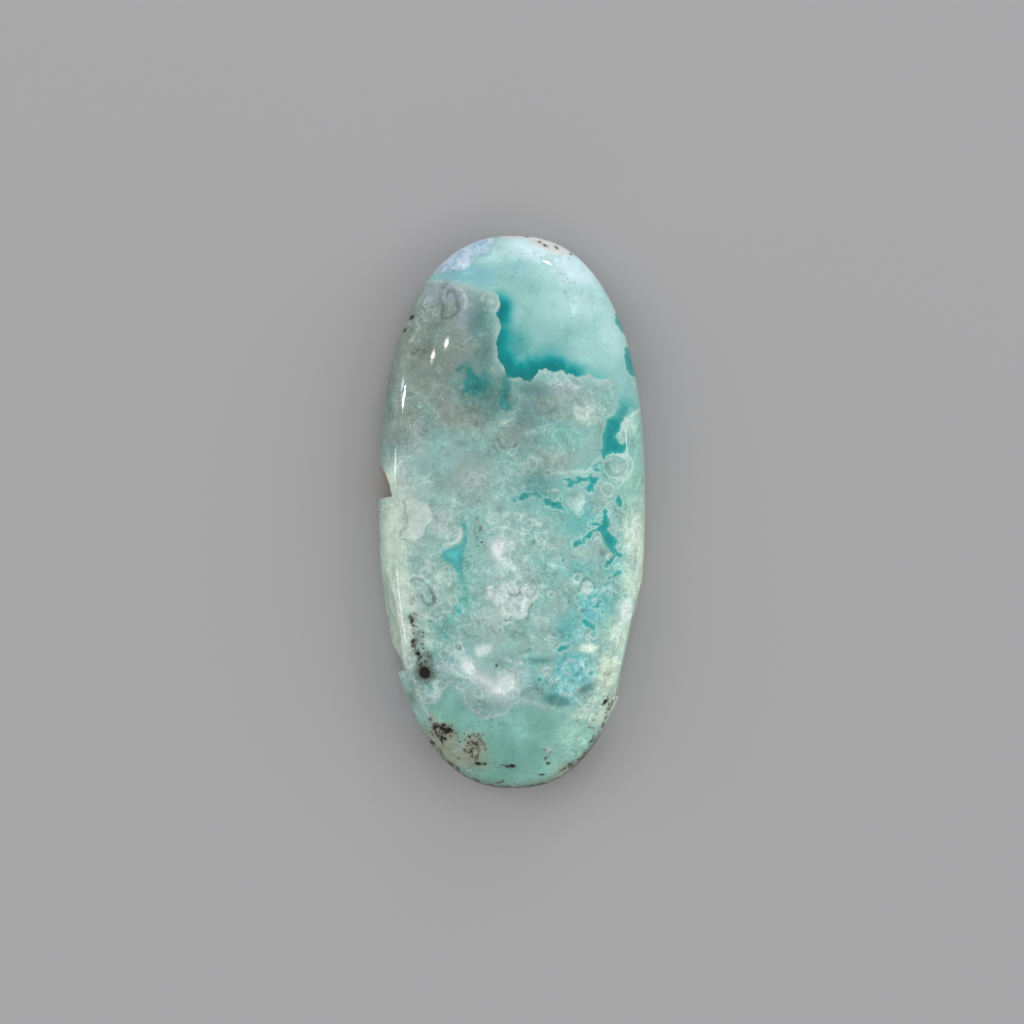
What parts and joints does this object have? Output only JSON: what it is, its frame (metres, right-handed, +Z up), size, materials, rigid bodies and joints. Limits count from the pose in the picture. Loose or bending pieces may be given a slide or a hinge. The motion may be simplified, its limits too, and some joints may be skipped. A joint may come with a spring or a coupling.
{
  "type": "turquoise cabochon",
  "caption": "Long oval domed gemstone with a flat back, polished all over, with small chips in its edge.",
  "frame": {"origin": "middle of the flat back", "axes": "+Z up through the dome, +Y along the long axis towards the wider, paler end, X across the stone"},
  "size_m": [0.0183, 0.038, 0.0062],
  "materials": {
    "turquoise": "high polish"
  },
  "bodies": {
    "root": {"cabochon": "turquoise"}
  },
  "joints": []
}
